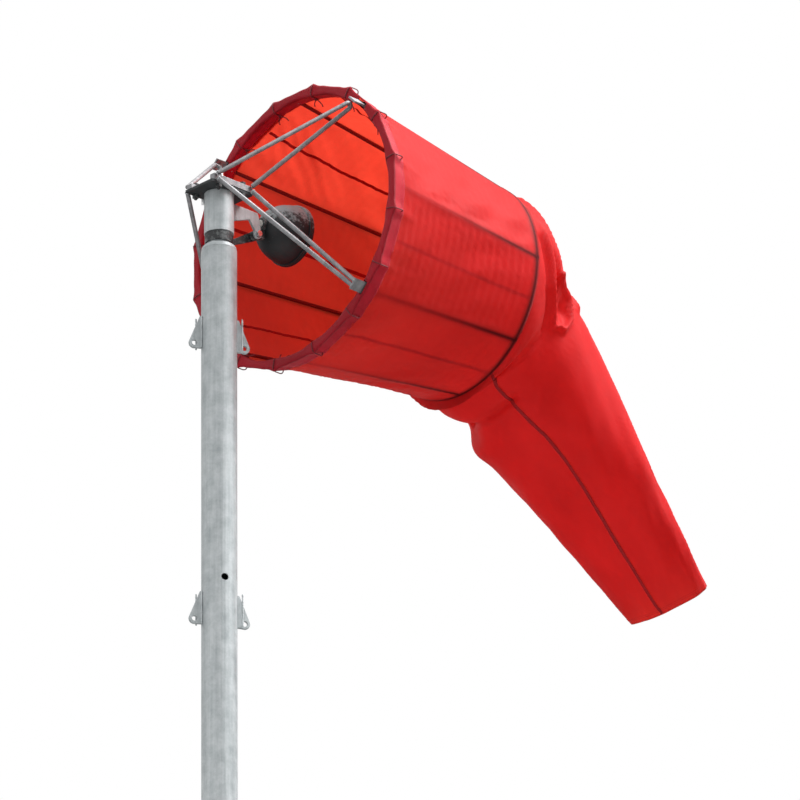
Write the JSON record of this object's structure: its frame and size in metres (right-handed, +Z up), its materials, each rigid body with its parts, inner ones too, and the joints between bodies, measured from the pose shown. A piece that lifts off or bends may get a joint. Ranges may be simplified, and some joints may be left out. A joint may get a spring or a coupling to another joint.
{
  "type": "windsock with pole",
  "caption": "Windsock on a galvanised pole: a ball-bearing swivel carries a rod basket, a spotlight and a red cloth sock whose limp tail hangs down.",
  "frame": {"origin": "centre of the base plate's underside, on the mast's axis", "axes": "+Z up the mast, +X downwind, the way the basket points at rest"},
  "size_m": [1.5001, 0.6294, 3.4287],
  "materials": {
    "galvanised_steel": "hot-dip galvanised, weathered matt",
    "bright_steel": "ground or zinc plated",
    "black_coated_metal": "matt black",
    "red_paint": "dark red paint on the basket's rods",
    "lamp_paint": "weathered dark grey",
    "lamp_glass": "pressed reflector bulb",
    "white_ceramic": "glazed lamp holder",
    "red_cloth": "coated nylon, translucent",
    "dark_red_webbing": "doubled hem"
  },
  "bodies": {
    "mast": {"base_plate": "galvanised_steel", "mast_tube": "galvanised_steel", "tie_lug_upper_front": "galvanised_steel", "tie_lug_upper_rear": "galvanised_steel", "tie_lug_lower_front": "galvanised_steel", "tie_lug_lower_rear": "galvanised_steel", "mast_cap": "galvanised_steel", "spindle": "bright_steel", "spindle_foot_nut": "galvanised_steel", "spindle_nut": "galvanised_steel", "spindle_washer": "galvanised_steel", "bearing_spacer": "galvanised_steel", "lower_inner_race": "bright_steel", "upper_inner_race": "bright_steel"},
    "lower_balls": {"lower_bearing_balls": "bright_steel"},
    "upper_balls": {"upper_bearing_balls": "bright_steel"},
    "head": {"swivel_sleeve": "galvanised_steel", "sleeve_bolt": "bright_steel", "lower_outer_race": "bright_steel", "upper_outer_race": "bright_steel", "bearing_keeper": "bright_steel", "head_plate": "galvanised_steel", "rail_left": "galvanised_steel", "rail_right": "galvanised_steel", "rail_bolt_front_left": "black_coated_metal", "rail_bolt_front_right": "black_coated_metal", "rail_bolt_rear_left": "black_coated_metal", "rail_bolt_rear_right": "black_coated_metal", "swivel_crown": "galvanised_steel", "crown_nut": "bright_steel", "mouth_ring": "galvanised_steel", "rear_ring": "red_paint", "basket_rod_1": "red_paint", "basket_rod_2": "red_paint", "basket_rod_3": "red_paint", "basket_rod_4": "red_paint", "basket_rod_5": "red_paint", "basket_rod_6": "red_paint", "basket_rod_7": "red_paint", "basket_rod_8": "red_paint", "upper_stay_left": "galvanised_steel", "upper_stay_right": "galvanised_steel", "lower_stay_front_left": "galvanised_steel", "lower_stay_front_right": "galvanised_steel", "lower_stay_rear_left": "galvanised_steel", "lower_stay_rear_right": "galvanised_steel", "sock_cover": "red_cloth", "mouth_hem": "dark_red_webbing", "sock_neck": "red_cloth", "lamp_arm": "galvanised_steel", "clamp_collar": "black_coated_metal", "lamp_strap": "black_coated_metal", "knuckle_bolt": "bright_steel"},
    "lamp": {"lamp_knuckle": "black_coated_metal", "lamp_housing": "lamp_paint", "lamp_rim": "lamp_paint", "lamp_bulb": "lamp_glass", "lamp_holder": "white_ceramic", "cable_gland": "black_coated_metal"},
    "tail": {"sock_tail": "red_cloth"}
  },
  "joints": [
    {"name": "head_swivel", "type": "hinge", "parent": "mast", "child": "head", "pos_m": [0, 0, 3.114], "axis": [0, 0, 1], "continuous": true},
    {"name": "lower_ball_turn", "type": "hinge", "parent": "mast", "child": "lower_balls", "pos_m": [0, 0, 3.0378], "axis": [0, 0, 1], "continuous": true},
    {"name": "upper_ball_turn", "type": "hinge", "parent": "mast", "child": "upper_balls", "pos_m": [0, 0, 3.0955], "axis": [0, 0, 1], "continuous": true},
    {"name": "lamp_tilt", "type": "hinge", "parent": "head", "child": "lamp", "pos_m": [0.102, 0, 3.058], "axis": [0, 1, 0], "range_deg": [-10, 25]},
    {"name": "tail_lift", "type": "hinge", "parent": "head", "child": "tail", "pos_m": [0.7, 0, 3.114], "axis": [0, 1, 0], "range_deg": [-41.5, 48.5], "deforming": ["sock_neck"]}
  ],
  "couplings": [
    {"joint": "lower_ball_turn", "follows": "head_swivel", "ratio": 0.6039},
    {"joint": "upper_ball_turn", "follows": "head_swivel", "ratio": 0.6039}
  ]
}
